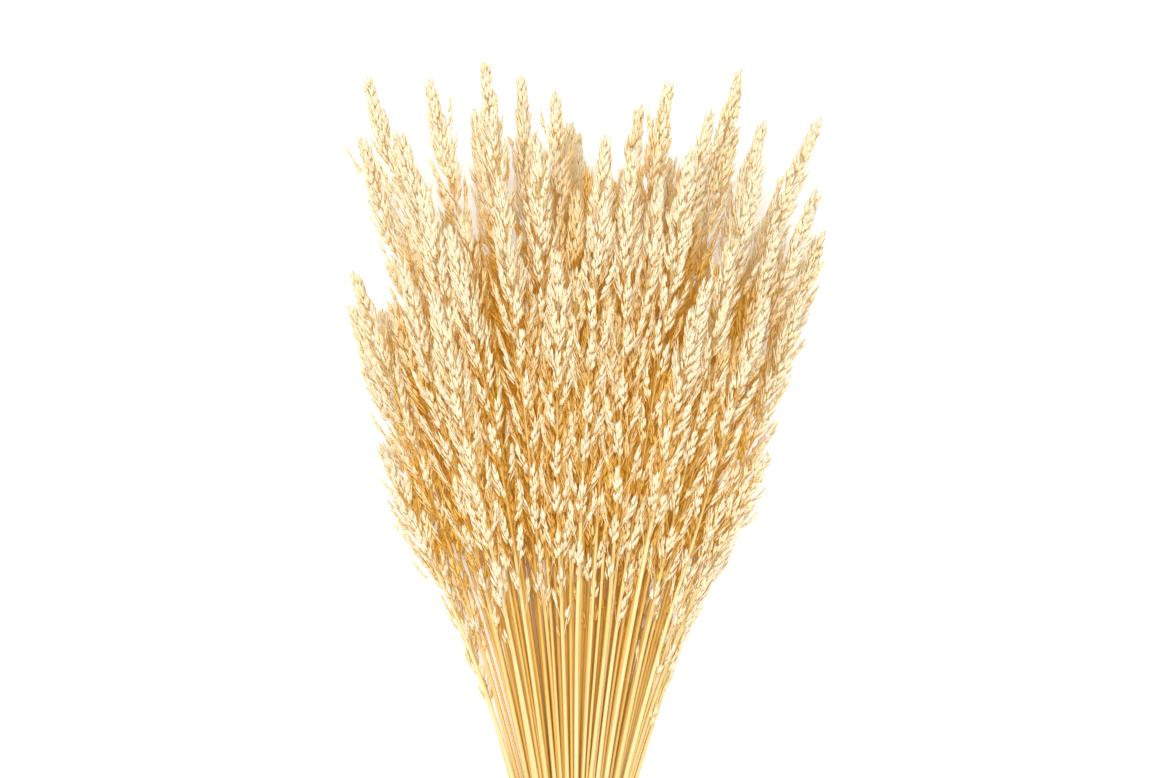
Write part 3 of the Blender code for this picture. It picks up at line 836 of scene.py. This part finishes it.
@dataclass
class Branch:
    """One branch of a seed head, with spikelets on its two sides and its back."""

    route: list[tuple[Vector, Vector]]
    bare_share: float
    tone: float
    rng: random.Random

    stalk_radius: float = 0.42 * MM
    spikelet_spacing: float = 3.0 * MM
    column_gap: float = 1.5 * MM
    terminal_length: float = 11.0 * MM
    stalk_stops: tuple[float, ...] = (0.0, 0.45, 0.9)

    @property
    def length(self) -> float:
        """Length of the branch."""
        return sum((after[0] - before[0]).length for before, after in zip(self.route, self.route[1:]))

    def _at(self, share: float) -> tuple[Vector, Vector, Vector]:
        """Place, direction and outward direction at a share of the branch."""
        spot = min(share, 0.9999) * (len(self.route) - 1)
        first = int(spot)
        (start, away), (end, next_away) = self.route[first], self.route[first + 1]
        return (start.lerp(end, spot - first), (end - start).normalized(),
                away.lerp(next_away, spot - first).normalized())

    def grow(self, spikelets: SpikeletShapes) -> bpy.types.Mesh:
        """Grow the stalk and its spikelets.

        Args:
            spikelets: Forms of the spikelets.

        Returns:
            The branch as a mesh of its own.
        """
        shape = new_shape()
        frames = []
        for share in self.stalk_stops:
            place, ahead, away = self._at(share)
            frames.append(cross_frame(place, ahead, away, self.stalk_radius * (1.15 - 0.6 * share)))
        grow_tube(shape, frames, 3, self.tone, Dress.SPIKELET.value)
        bmesh.ops.recalc_face_normals(shape, faces=shape.faces)
        self._hang(shape, spikelets)
        mesh = bpy.data.meshes.new("branch")
        shape.to_mesh(mesh)
        shape.free()
        return mesh

    def _hang(self, shape: bmesh.types.BMesh, spikelets: SpikeletShapes) -> None:
        """Set the spikelets along the stalk, and one at its end."""
        rng = self.rng
        last = 1.0 - self.terminal_length / self.length
        count = max(1, round(self.length * (last - self.bare_share) / self.spikelet_spacing))
        turn = rng.randrange(3)
        for number in range(count + 1):
            share = self.bare_share + (last - self.bare_share) * number / count
            if 0 < number < count:
                share += rng.uniform(-0.03, 0.03)
            narrow = 1.0 - 0.75 * (number / count) ** 2
            place, ahead, away = self._at(share)
            side = (number + turn) % 3 - 1
            across = ahead.cross(away)
            if number == count:
                direction = ahead + away * rng.uniform(-0.04, 0.12)
                facing = away
            else:
                direction = ahead + across * side * rng.uniform(0.08, 0.24) * (0.4 + 0.6 * narrow) + away * (
                    rng.uniform(-0.02, 0.1) if side else rng.uniform(0.06, 0.18))
                facing = away + across * side * rng.uniform(0.2, 1.0)
                place = place + facing.normalized() * 0.5 * MM + across * side * self.column_gap * narrow
            size = rng.uniform(0.86, 1.08)
            roll = Matrix.Rotation(rng.uniform(-0.5, 0.5), 4, "Z")
            matrix = cross_frame(place, direction, facing, 1.0) @ roll @ Matrix.Scale(size, 4)
            spikelets.place(shape, matrix, near_tone(self.tone, rng), rng)


def near_tone(tone: float, rng: random.Random) -> float:
    """Tone near another, from 0 to 1."""
    return min(max(rng.gauss(tone, 0.2), 0.0), 1.0)


@dataclass
class Stem:
    """A culm with its seed head, grown along one plan."""

    plan: StemPlan
    spikelets: SpikeletShapes
    rng: random.Random
    tone: float

    tied_radius: float = 1.65 * MM
    full_radius: float = 1.9 * MM
    head_radius: float = 1.45 * MM
    tip_radius: float = 0.35 * MM
    pinched_to: float = 12 * MM
    full_from: float = 100 * MM
    culm_step: float = 25 * MM
    axis_step: float = 22 * MM
    culm_sides: int = 8
    rind: float = 0.5 * MM
    branch_rows: float = 2.3
    bulge: float = 1.9
    base_reach: float = 16 * MM
    bare_share: float = 0.2
    tip_spikelets: int = 4
    tip_spacing: float = 5.4 * MM
    crown_branches: int = 12
    crown_step: float = 5.0 * MM
    fork_share: float = 0.35
    stray_share: float = 0.5
    skirt_branches: int = 6
    skirt_step: float = 11 * MM

    def grow(self, shape: bmesh.types.BMesh) -> None:
        """Grow the culm, its branches and their spikelets into a mesh."""
        branches = [self._branch(point) for point in self.plan.branches]
        branches += [self._crown_branch(number) for number in range(self.crown_branches)]
        if self.rng.random() < self.fork_share:
            branches.append(self._fork())
        for number in range(self.rng.randrange(self.skirt_branches)):
            branches.append(self._skirt_branch(number))
        while self.rng.random() < self.stray_share:
            branches.append(self._stray())
        grown = [self._culm()]
        grown += [branch.grow(self.spikelets) for branch in branches]
        grown.append(self._tip())
        for mesh in grown:
            shape.from_mesh(mesh)
            bpy.data.meshes.remove(mesh)

    def _radius(self, y: float) -> float:
        """Radius of the culm, pinched where it is tied, and of the axis that carries the branches."""
        base = self.plan.head_base
        if y < self.full_from:
            share = min(max((y - self.pinched_to) / (self.full_from - self.pinched_to), 0.0), 1.0)
            return self.tied_radius + (self.full_radius - self.tied_radius) * share
        if y < base:
            share = (y - self.full_from) / (base - self.full_from)
            return self.full_radius + (self.head_radius - self.full_radius) * share
        share = (y - base) / (self.plan.tip - base)
        return self.head_radius + (self.tip_radius - self.head_radius) * min(share * 1.15, 1.0) ** 0.7

    def _culm(self) -> bpy.types.Mesh:
        """Make the culm and the head's axis, with a cut end that shows its pith."""
        shape = new_shape()
        line = self.plan.line
        start = line.levels[0]
        base = self.plan.head_base
        end = self.plan.tip - self.spikelets.length
        culm_steps = round((base - start) / self.culm_step)
        axis_steps = round((end - base) / self.axis_step)
        levels = [start + (base - start) * step / culm_steps for step in range(culm_steps)]
        levels += [base + (end - base) * step / axis_steps for step in range(axis_steps + 1)]
        frames = [cross_frame(line.at(y), line.ahead(y), Vector((0, 0, 1)), self._radius(y)) for y in levels]
        cut, _ = grow_tube(shape, frames, self.culm_sides, self.tone, Dress.CULM.value)
        bmesh.ops.inset_individual(shape, faces=[cut], thickness=min(self.rind, self.tied_radius / 3),
                                   depth=-0.25 * MM)
        cut.material_index = Dress.PITH.value
        bmesh.ops.recalc_face_normals(shape, faces=shape.faces)
        mesh = bpy.data.meshes.new("culm")
        shape.to_mesh(mesh)
        shape.free()
        return mesh

    def _branch(self, point: BranchPoint) -> Branch:
        """Lay one branch from the axis, out and along it, to its point.

        Args:
            point: The point that the plan gives.

        Returns:
            The branch.
        """
        rng = self.rng
        line = self.plan.line
        level = line.level_of(point.place)
        away = point.place - line.at(level)
        reach = away.length
        outward = away.normalized()
        length = self.plan.row_pitch * self.branch_rows * rng.uniform(0.88, 1.12)
        lowest = self.plan.head_base - self.base_reach
        start = max(level - length, lowest + rng.uniform(0, 10) * MM)
        twist = math.radians(rng.uniform(-16, 16))
        route = []
        for step in range(6):
            share = step / 5
            y = start + (level - start) * share
            turned = Matrix.Rotation(twist * (1 - share), 3, line.ahead(y)) @ outward
            root = self._radius(y) * 0.6
            out = root + (reach - root) * (1 - (1 - share) ** self.bulge)
            route.append((line.at(y) + turned * out, turned))
        low = point.row_level < self.plan.head_base + 1.6 * self.plan.row_pitch
        return Branch(route, 0.35 if low else self.bare_share, self.tone, rng)

    def _crown_branch(self, number: int) -> Branch:
        """Lay one of the short branches near the tip, which lie closer the nearer they are to it.

        Args:
            number: Its number, counted down from the tip.

        Returns:
            The branch.
        """
        rng = self.rng
        end = self.plan.tip - (13 * MM + self.crown_step * (number + rng.uniform(-0.3, 0.3)))
        length = (17 + 2.0 * number) * MM * rng.uniform(0.9, 1.15)
        reach = min(3.0 + 1.55 * number, 12.5) * MM * rng.uniform(0.8, 1.15)
        turn = Matrix.Rotation(GOLDEN_TURN * number + rng.uniform(-0.4, 0.4), 3, "Y")
        return self._sprig(end - length, end, reach, turn @ Vector((0, 0, 1)), 0.1)

    def _fork(self) -> Branch:
        """Lay one long branch that ends beside the tip, which looks like a second tip."""
        rng = self.rng
        end = self.plan.tip - rng.uniform(6, 24) * MM
        turn = Matrix.Rotation(rng.choice((-1, 1)) * math.radians(rng.uniform(50, 115)), 3, "Y")
        return self._sprig(end - rng.uniform(48, 62) * MM, end, rng.uniform(12, 17) * MM,
                           turn @ Vector((0, 0, 1)), 0.45)

    def _skirt_branch(self, number: int) -> Branch:
        """Lay one of the branches that draw the foot of the head out along the culm.

        Args:
            number: Its number, counted down from the head.

        Returns:
            The branch.
        """
        rng = self.rng
        end = self.plan.head_base + 12 * MM - self.skirt_step * (number + rng.uniform(-0.3, 0.3))
        turn = Matrix.Rotation(GOLDEN_TURN * number + rng.uniform(-0.6, 0.6), 3, "Y")
        reach = (8.5 - 0.7 * number) * MM * rng.uniform(0.8, 1.1)
        return self._sprig(end - rng.uniform(26, 36) * MM, end, reach, turn @ Vector((0, 0, 1)), 0.35)

    def _stray(self) -> Branch:
        """Lay one loose branch on the culm below the head, with few spikelets."""
        rng = self.rng
        start = self.plan.head_base - rng.uniform(20, 90) * MM
        turn = Matrix.Rotation(rng.uniform(0, math.tau), 3, "Y")
        return self._sprig(start, start + rng.uniform(26, 42) * MM, rng.uniform(3.5, 6.5) * MM,
                           turn @ Vector((0, 0, 1)), 0.5)

    def _sprig(self, start: float, end: float, reach: float, away: Vector, bare_share: float) -> Branch:
        """Lay a short branch from the axis at one level to its end at another.

        Args:
            start: Level of its root.
            end: Level of its end.
            reach: How far its end stands from the axis.
            away: Direction that it leaves the axis in.
            bare_share: Share of it that bears no spikelets.

        Returns:
            The branch.
        """
        line = self.plan.line
        route = []
        for step in range(4):
            share = step / 3
            y = start + (end - start) * share
            root = self._radius(y) * 0.6
            route.append((line.at(y) + away * (root + (reach - root) * share ** 0.8), away))
        return Branch(route, bare_share, self.tone, self.rng)

    def _tip(self) -> bpy.types.Mesh:
        """Set the last spikelets round the end of the head's axis."""
        rng = self.rng
        line = self.plan.line
        shape = new_shape()
        for number in range(self.tip_spikelets):
            y = self.plan.tip - self.spikelets.length - number * self.tip_spacing
            ahead = line.ahead(y)
            away = Matrix.Rotation(GOLDEN_TURN * number + rng.random(), 3, ahead) @ Vector((0, 0, 1))
            direction = ahead + away * (0.0 if number == 0 else rng.uniform(0.15, 0.35))
            matrix = cross_frame(line.at(y), direction, away, 1.0) @ Matrix.Scale(rng.uniform(0.8, 0.96), 4)
            self.spikelets.place(shape, matrix, near_tone(self.tone, rng), rng)
        mesh = bpy.data.meshes.new("head_tip")
        shape.to_mesh(mesh)
        shape.free()
        return mesh


@dataclass
class Room:
    """Room between three stems, and the share of each that a stem in it follows above the tie."""

    plans: tuple[StemPlan, ...]
    shares: tuple[float, ...]

    EVEN_TO = 15 * MM
    LEANS_FROM = 130 * MM

    def at(self, y: float) -> Vector:
        """Middle of the room at y."""
        lean = min(max((y - self.EVEN_TO) / (self.LEANS_FROM - self.EVEN_TO), 0.0), 1.0)
        even = 1 / len(self.plans)
        return sum((plan.line.at(y) * (even + (share - even) * lean)
                    for plan, share in zip(self.plans, self.shares)), Vector())


@dataclass
class InnerStems:
    """Slimmer stems that fill the room between the main ones."""

    plans: list[StemPlan]
    spikelets: SpikeletShapes
    rng: random.Random

    count: int = 66
    pieces: int = 6
    closest: float = 5.7 * MM
    head_reach: float = 8.0 * MM
    tied_radius: float = 0.82 * MM
    full_radius: float = 1.35 * MM
    spare: float = 0.35 * MM
    checked: tuple[float, ...] = tuple(level * MM for level in (15, 30, 50, 75, 100, 140, 180, 220, 260, 300))
    seen_from: tuple[float, ...] = (0.14, 0.20, 0.27)
    leans: tuple[tuple[float, ...], ...] = ((1 / 3, 1 / 3, 1 / 3), (0.5, 0.5, 0.0), (0.0, 0.5, 0.5),
                                            (0.5, 0.0, 0.5))

    def _rooms(self) -> list[Room]:
        """Room in each three of stems that touch each other in the tie, with every way to lean."""
        found = []
        slots = [plan.line.at(0.0) for plan in self.plans]
        near = [[other for other in range(len(slots)) if other > place
                 and (slots[other] - slots[place]).length < self.closest] for place in range(len(slots))]
        for first in range(len(slots)):
            for second in near[first]:
                for third in near[second]:
                    if third in near[first]:
                        three = tuple(self.plans[number] for number in (first, second, third))
                        found += [Room(three, shares) for shares in self.leans]
        return [room for room in found if self._stays_clear(room)]

    def _stays_clear(self, room: Room) -> bool:
        """Whether a stem in a room would pass every main stem without touching it."""
        for y in self.checked:
            middle = room.at(y)
            swelling = min(max(y / Stem.full_from, 0.0), 1.0)
            tied = Stem.tied_radius + self.tied_radius
            need = tied + swelling * (Stem.full_radius + self.full_radius - tied) - self.spare
            if min((plan.line.at(y) - middle).length for plan in self.plans) < need:
                return False
        return True

    def _gap(self, room: Room, across: list[list[float]]) -> float:
        """Distance across from a room to the nearest stem, at the levels that are looked at."""
        here = [room.at(y).x for y in self.seen_from]
        return sum(min(abs(there[place] - here[place]) for there in across) for place in range(len(here)))

    def _parted(self, room: Room, other: Room) -> bool:
        """Whether the stems in two rooms pass each other without touching."""
        if room.plans == other.plans:
            return False
        return all((room.at(y) - other.at(y)).length > 2 * self.full_radius for y in self.checked[3:])

    def _choose(self) -> list[Room]:
        """Pick the rooms that fill the widest gaps, as they are seen from above."""
        rooms = self._rooms()
        LOG.info("%d ways for inner stems", len(rooms))
        across = [[plan.line.at(y).x for y in self.seen_from] for plan in self.plans]
        chosen: list[Room] = []
        while rooms and len(chosen) < self.count:
            best = max(rooms, key=lambda room: self._gap(room, across))
            across.append([best.at(y).x for y in self.seen_from])
            chosen.append(best)
            rooms = [room for room in rooms if self._parted(room, best)]
        LOG.info("%d inner stems", len(chosen))
        return chosen

    def build(self, materials: Sequence[bpy.types.Material]) -> list[bpy.types.Object]:
        """Grow the inner stems, several in a piece.

        Args:
            materials: Materials of the culm, the spikelets and the cut end.

        Returns:
            The finished pieces.
        """
        shapes = [new_shape() for _ in range(self.pieces)]
        for number, room in enumerate(self._choose()):
            plan = StemPlan.between(room, self.head_reach, self.rng)
            stem = Stem(plan, self.spikelets, self.rng, self.rng.uniform(0.3, 0.85),
                        tied_radius=self.tied_radius, full_radius=self.full_radius, head_radius=1.2 * MM,
                        culm_sides=6, branch_rows=1.9, bare_share=0.3, crown_branches=7)
            stem.grow(shapes[number % self.pieces])
        return [finished(f"inner_grass_{number + 1}", shape, materials)
                for number, shape in enumerate(shapes)]


@dataclass
class TwineTie:
    """Turns of three-strand twine round the culms, with a knot and two frayed ends."""

    slots: list[Vector]
    rng: random.Random

    turns: int = 5
    pitch: float = 2.2 * MM
    thickness: float = 2.2 * MM
    gap: float = 0.35 * MM
    culm_radius: float = 1.7 * MM
    strands: int = 3
    strand_radius: float = 0.62 * MM
    strand_offset: float = 0.50 * MM
    lay: float = 7.5 * MM
    step: float = 1.3 * MM
    sides: int = 6
    knot_across: float = 6 * MM
    knot_size: Vector = field(default_factory=lambda: Vector((3.3, 4.0, 2.1)) * MM)
    tail_lengths: tuple[float, float] = (9.5 * MM, 13.8 * MM)

    def _outline(self) -> list[Vector]:
        """Loop round the culms at the middle of the twine, in equal steps."""
        reach = self.culm_radius + self.gap + self.thickness / 2
        loop = []
        for step in range(240):
            angle = math.tau * step / 240 + math.pi / 2
            facing = Vector((math.cos(angle), 0.0, math.sin(angle)))
            far = max(self.slots, key=lambda slot: slot.dot(facing))
            loop.append(far + facing * reach)
        return even_steps(loop + loop[:1], self.step)

    def _wound_path(self) -> list[Vector]:
        """Path of the twine through all its turns."""
        loop = self._outline()
        half = self.turns * self.pitch / 2
        total = self.turns * (len(loop) - 1)
        return [Vector((loop[n % (len(loop) - 1)].x, self.pitch * self.turns * n / total - half,
                        loop[n % (len(loop) - 1)].z)) for n in range(total + 1)]

    def _knot_path(self, seat: Vector) -> list[Vector]:
        """Path of the small knot, which passes over and under itself three times."""
        path = []
        for step in range(61):
            angle = math.tau * step / 60
            path.append(seat + Vector((
                self.knot_size.x * (math.sin(angle) + 2 * math.sin(2 * angle)) / 3,
                self.knot_size.y * (math.cos(angle) - 2 * math.cos(2 * angle)) / 3,
                -self.knot_size.z * math.sin(3 * angle) * 0.6)))
        return path

    def _strand(self, shape: bmesh.types.BMesh, path: list[Vector], number: int, shrink: float = 1.0) -> None:
        """Add one strand that winds along a path.

        Args:
            shape: Mesh of the twine.
            path: Path of the twine's middle.
            number: Number of the strand.
            shrink: Share of the strand's full size.
        """
        frames = []
        away = Vector((0.0, 0.0, 1.0))
        length = 0.0
        for place, point in enumerate(path):
            ahead = path[min(place + 1, len(path) - 1)] - path[max(place - 1, 0)]
            away = (away - ahead * (away.dot(ahead) / ahead.length_squared)).normalized()
            length += (point - path[place - 1]).length if place else 0.0
            angle = math.tau * (length / self.lay + number / self.strands)
            lean = Matrix.Rotation(angle, 3, ahead) @ away
            offset = lean * self.strand_offset * shrink
            frames.append(cross_frame(point + offset, ahead, lean, self.strand_radius * shrink))
        grow_tube(shape, frames, self.sides, self.rng.uniform(0.2, 0.8))

    def _tail(self, shape: bmesh.types.BMesh, seat: Vector, side: int, length: float) -> None:
        """Add one loose end with frayed fibres."""
        path = []
        for step in range(9):
            part = step / 8
            path.append(seat + Vector((side * (1.0 * MM + 8 * MM * part), 2 * MM + length * 1.05 * part,
                                       0.5 * MM + 1.4 * MM * math.sin(math.pi * part))))
        for number in range(self.strands):
            self._strand(shape, path, number, 0.92)
        ahead = (path[-1] - path[-2]).normalized()
        for _ in range(14):
            spread = Vector((self.rng.uniform(-1, 1), self.rng.uniform(-0.4, 0.4), self.rng.uniform(-0.7, 1)))
            root = path[-1] + spread * 0.5 * MM - ahead * 1.5 * MM
            reach = self.rng.uniform(2.5, 4.5) * MM
            frames = [cross_frame(root + (ahead + spread * 0.5 * share) * reach * share, ahead,
                                  Vector((0, 0, 1)), 0.11 * MM * (1.2 - share)) for share in (0.0, 0.5, 1.0)]
            grow_tube(shape, frames, 3, self.rng.random())

    def build(self, material: bpy.types.Material) -> bpy.types.Object:
        """Wind the twine, tie the knot and lay its ends.

        Args:
            material: Material of the twine.

        Returns:
            The finished piece.
        """
        shape = new_shape()
        path = self._wound_path()
        for number in range(self.strands):
            self._strand(shape, path, number)
        top = max(point.z for point in path if abs(point.x - self.knot_across) < 4 * MM)
        seat = Vector((self.knot_across, 0.0, top + self.thickness * 0.85))
        for number in range(self.strands):
            self._strand(shape, self._knot_path(seat), number, 0.85)
        for side, length in zip((-1, 1), self.tail_lengths):
            self._tail(shape, seat, side, length)
        bmesh.ops.recalc_face_normals(shape, faces=shape.faces)
        return finished("twine_tie", shape, [material])


def even_steps(points: Sequence[Vector], step: float) -> list[Vector]:
    """Points at equal distances along a line through other points.

    Args:
        points: Points of the line.
        step: About how far apart the new points are.

    Returns:
        The new points, the line's two ends among them.
    """
    reached = [0.0]
    for before, after in zip(points, points[1:]):
        reached.append(reached[-1] + (after - before).length)
    count = round(reached[-1] / step)
    found = []
    for number in range(count + 1):
        far = reached[-1] * number / count
        first = min(max(bisect_right(reached, far) - 1, 0), len(points) - 2)
        gap = max(reached[first + 1] - reached[first], 1e-9)
        found.append(points[first].lerp(points[first + 1], (far - reached[first]) / gap))
    return found


@dataclass
class Studio:
    """White table, soft lights and the camera above the bundle."""

    picture: tuple[int, int] = (1168, 778)
    metres_per_pixel: float = 0.8 * MM
    tie_pixel: tuple[float, float] = (573.0, 940.5)
    sharp_height: float = 75 * MM
    camera_height: float = 2.6
    table_side: float = 6.0
    sky: float = 0.62
    key_watts: float = 58.0
    fill_watts: float = 12.0

    def set_table(self) -> None:
        """Lay the table that the bundle rests on."""
        shape = bmesh.new()
        bmesh.ops.create_grid(shape, x_segments=1, y_segments=1, size=self.table_side / 2)
        mesh = bpy.data.meshes.new("table")
        shape.to_mesh(mesh)
        shape.free()
        mesh.materials.append(FloorFinish().material())
        table = bpy.data.objects.new("table", mesh)
        bpy.context.scene.collection.objects.link(table)

    def _light(self, name: str, place: Vector, target: Vector, side: float, watts: float) -> None:
        """Add one square soft light that faces a point."""
        data = bpy.data.lights.new(name, "AREA")
        data.size = side
        data.energy = watts
        light = bpy.data.objects.new(name, data)
        light.location = place
        light.rotation_euler = (target - place).to_track_quat("-Z", "Y").to_euler()
        bpy.context.scene.collection.objects.link(light)

    def set_lights(self) -> None:
        """Light the bundle evenly, a little more from the upper left."""
        world = bpy.data.worlds.new("studio")
        world.use_nodes = True
        sky = world.node_tree.nodes["Background"]
        sky.inputs["Color"].default_value = (1.0, 1.0, 1.0, 1.0)
        sky.inputs["Strength"].default_value = self.sky
        bpy.context.scene.world = world
        middle = Vector((0.0, 0.38, 0.05))
        self._light("key", Vector((-0.7, 0.8, 2.35)), middle, 2.2, self.key_watts)
        self._light("fill", Vector((1.5, 0.1, 1.7)), middle, 1.4, self.fill_watts)

    def set_camera(self) -> None:
        """Look straight down on the bundle, framed as in the photograph."""
        width, height = self.picture
        across = (width / 2 - self.tie_pixel[0]) * self.metres_per_pixel
        along = (self.tie_pixel[1] - height / 2) * self.metres_per_pixel
        data = bpy.data.cameras.new("camera")
        data.sensor_width = 36.0
        data.lens = data.sensor_width * self.camera_height / (width * self.metres_per_pixel)
        data.clip_end = 20.0
        camera = bpy.data.objects.new("camera", data)
        camera.location = (across, along, self.sharp_height + self.camera_height)
        bpy.context.scene.collection.objects.link(camera)
        bpy.context.scene.camera = camera
        bpy.context.scene.view_settings.view_transform = "Standard"


def adopt(piece: bpy.types.Object, node: str | None = None) -> None:
    """Let a piece ride with the bundle, stand for a solid of the frame, and report it.

    Args:
        piece: The finished piece.
        node: Name of the solid that it stands for, if it stands for one.
    """
    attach(piece, "root")
    if node is not None:
        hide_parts(node)
    LOG.info("%s: %d triangles", piece.name, triangles(piece))


def triangles(piece: bpy.types.Object) -> int:
    """Number of triangles in a piece."""
    return sum(len(face.vertices) - 2 for face in piece.data.polygons)


def main() -> None:
    """Dress every solid of the bundle and set up the studio."""
    logging.basicConfig(level=logging.INFO, format="%(message)s")
    studio = Studio()
    studio.set_camera()
    studio.set_table()
    studio.set_lights()
    grass = [CulmFinish().material(), SpikeletFinish().material(), PithFinish().material()]
    spikelets = SpikeletShapes()
    spikelets.make(random.Random(SEED))
    solids = {name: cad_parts[name] for name in sorted(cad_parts) if name.startswith("stem")}
    plans = {name: StemPlan.read(node) for name, node in solids.items()}
    # Surface of the bundle that the depth for the painted shade and glow is measured from.
    painted_shade_map = PaintedShadeMap(list(plans.values()))
    pieces = []
    for number, (name, plan) in enumerate(plans.items()):
        rng = random.Random(SEED * 1000 + number + 1)
        shape = new_shape()
        Stem(plan, spikelets, rng, rng.uniform(0.05, 0.65)).grow(shape)
        piece = finished(name.replace("stem", "grass"), shape, grass)
        adopt(piece, name)
        pieces.append(piece)
    for piece in InnerStems(list(plans.values()), spikelets, random.Random(SEED)).build(grass):
        adopt(piece)
        pieces.append(piece)
    # Write the depth that sets the painted shade and glow on every grass piece.
    for piece in pieces:
        painted_shade_map.mark(piece)
    spikelets.discard()
    slots = [plan.line.at(0.0) for plan in plans.values()]
    tie = TwineTie(slots, random.Random(SEED)).build(TwineFinish().material())
    adopt(tie, "tie")
    LOG.info("%d triangles in all", sum(triangles(piece) for piece in (*pieces, tie)))


if __name__ == "__main__":
    main()
